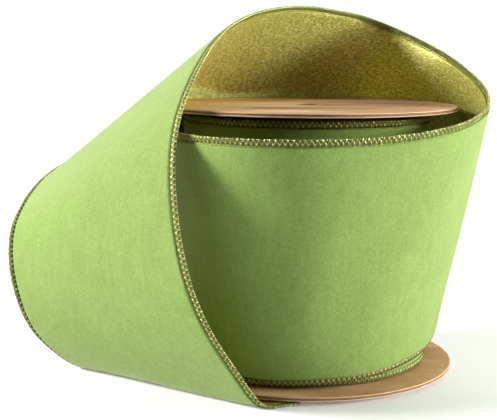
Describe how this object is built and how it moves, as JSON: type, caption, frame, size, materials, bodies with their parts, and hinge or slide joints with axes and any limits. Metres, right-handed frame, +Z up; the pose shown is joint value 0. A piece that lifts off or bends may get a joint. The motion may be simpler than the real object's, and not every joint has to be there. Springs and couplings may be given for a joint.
{
  "type": "ribbon spool",
  "caption": "Wide wired ribbon, velvet outside and metallic gold inside, on a kraft board spool; a long loose turn stands up behind it and loops down to the table.",
  "frame": {"origin": "middle of the foot of the whole object's box, on the table", "axes": "+Z up; +X to the right and -Y towards someone facing the front of the roll, with the loose loop on the left (-X)"},
  "size_m": [0.2024, 0.1616, 0.1544],
  "materials": {
    "kraft_board": "smooth printed kraft paper over board",
    "core_board": "plain grey board",
    "velvet": "short velvet pile",
    "gold_cloth": "crinkled metallic lining",
    "stitching": "shiny metallic thread, slanted wraps",
    "wire": "thin soft wire"
  },
  "bodies": {
    "loose_ribbon": {"loose_velvet_face": "velvet", "loose_gold_backing": "gold_cloth", "loose_top_stitching": "stitching", "loose_bottom_stitching": "stitching", "loose_top_wire": "wire", "loose_bottom_wire": "wire"},
    "spool": {"bottom_flange": "kraft_board", "top_flange": "kraft_board", "core_tube": "core_board", "wound_inner_turns": "velvet", "wound_gold_backing": "gold_cloth", "wound_velvet_face": "velvet", "wound_top_stitching": "stitching", "wound_bottom_stitching": "stitching", "wound_top_wire": "wire", "wound_bottom_wire": "wire"}
  },
  "joints": [
    {"name": "spool_turn", "type": "hinge", "parent": "loose_ribbon", "child": "spool", "pos_m": [0.0244, 0.00119, 0.00302], "axis": [0.0136, 0.0136, 0.9998], "continuous": true}
  ]
}
